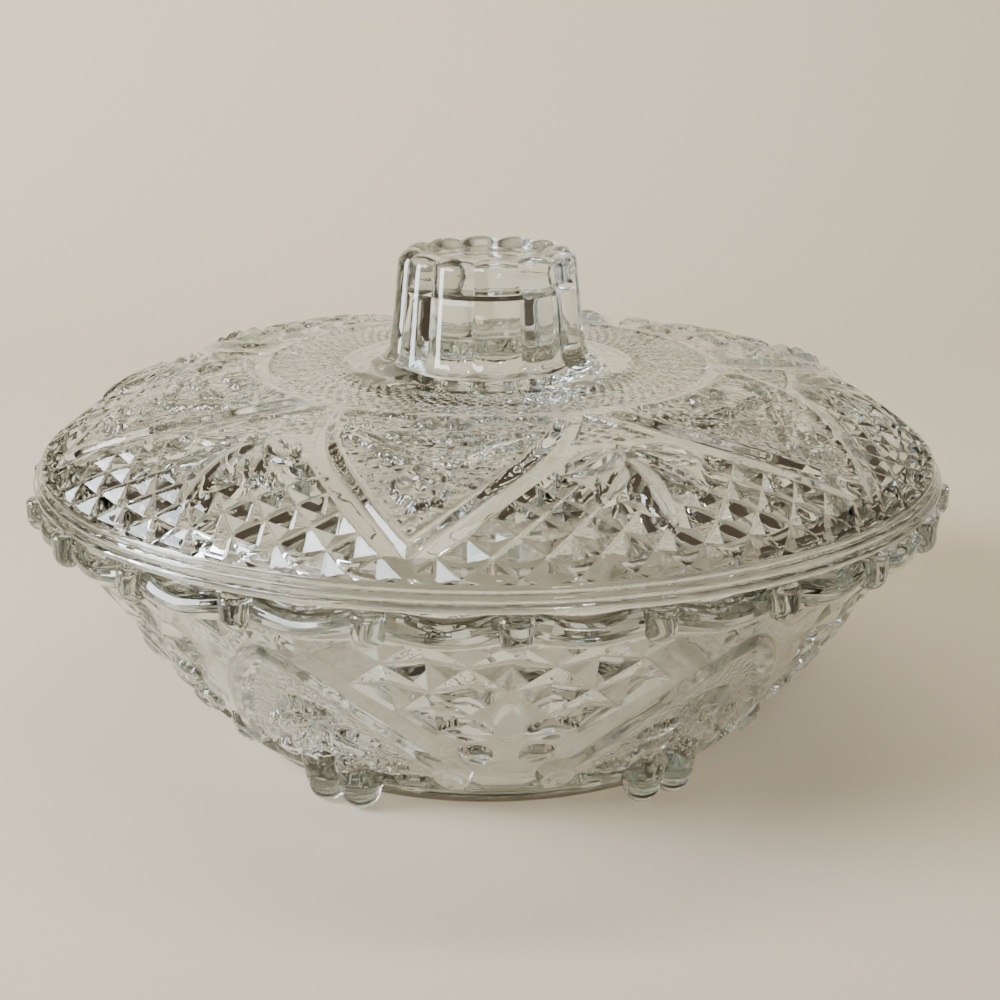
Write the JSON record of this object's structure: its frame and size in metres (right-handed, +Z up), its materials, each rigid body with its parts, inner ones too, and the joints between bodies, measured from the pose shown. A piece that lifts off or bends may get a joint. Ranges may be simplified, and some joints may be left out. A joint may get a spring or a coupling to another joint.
{
  "type": "covered glass candy dish",
  "caption": "Round footed bowl in clear pressed glass with a beaded rim and a lift-off domed lid with a hollow fluted knob.",
  "frame": {"origin": "centre of the flat base, on the surface that the dish stands on", "axes": "+Z up through the knob; -Y towards the viewer, through the middle of a lattice panel of the bowl"},
  "size_m": [0.178, 0.178, 0.0921],
  "materials": {
    "bowl": "clear pressed glass, fire polished",
    "lid": "clear pressed glass, fire polished"
  },
  "bodies": {
    "bowl": {"bowl": "bowl"},
    "lid": {"lid": "lid"}
  },
  "joints": [
    {"name": "lid_lift", "type": "slide", "parent": "bowl", "child": "lid", "axis": [0, 0, 1], "range_m": [0, 0.12]}
  ]
}
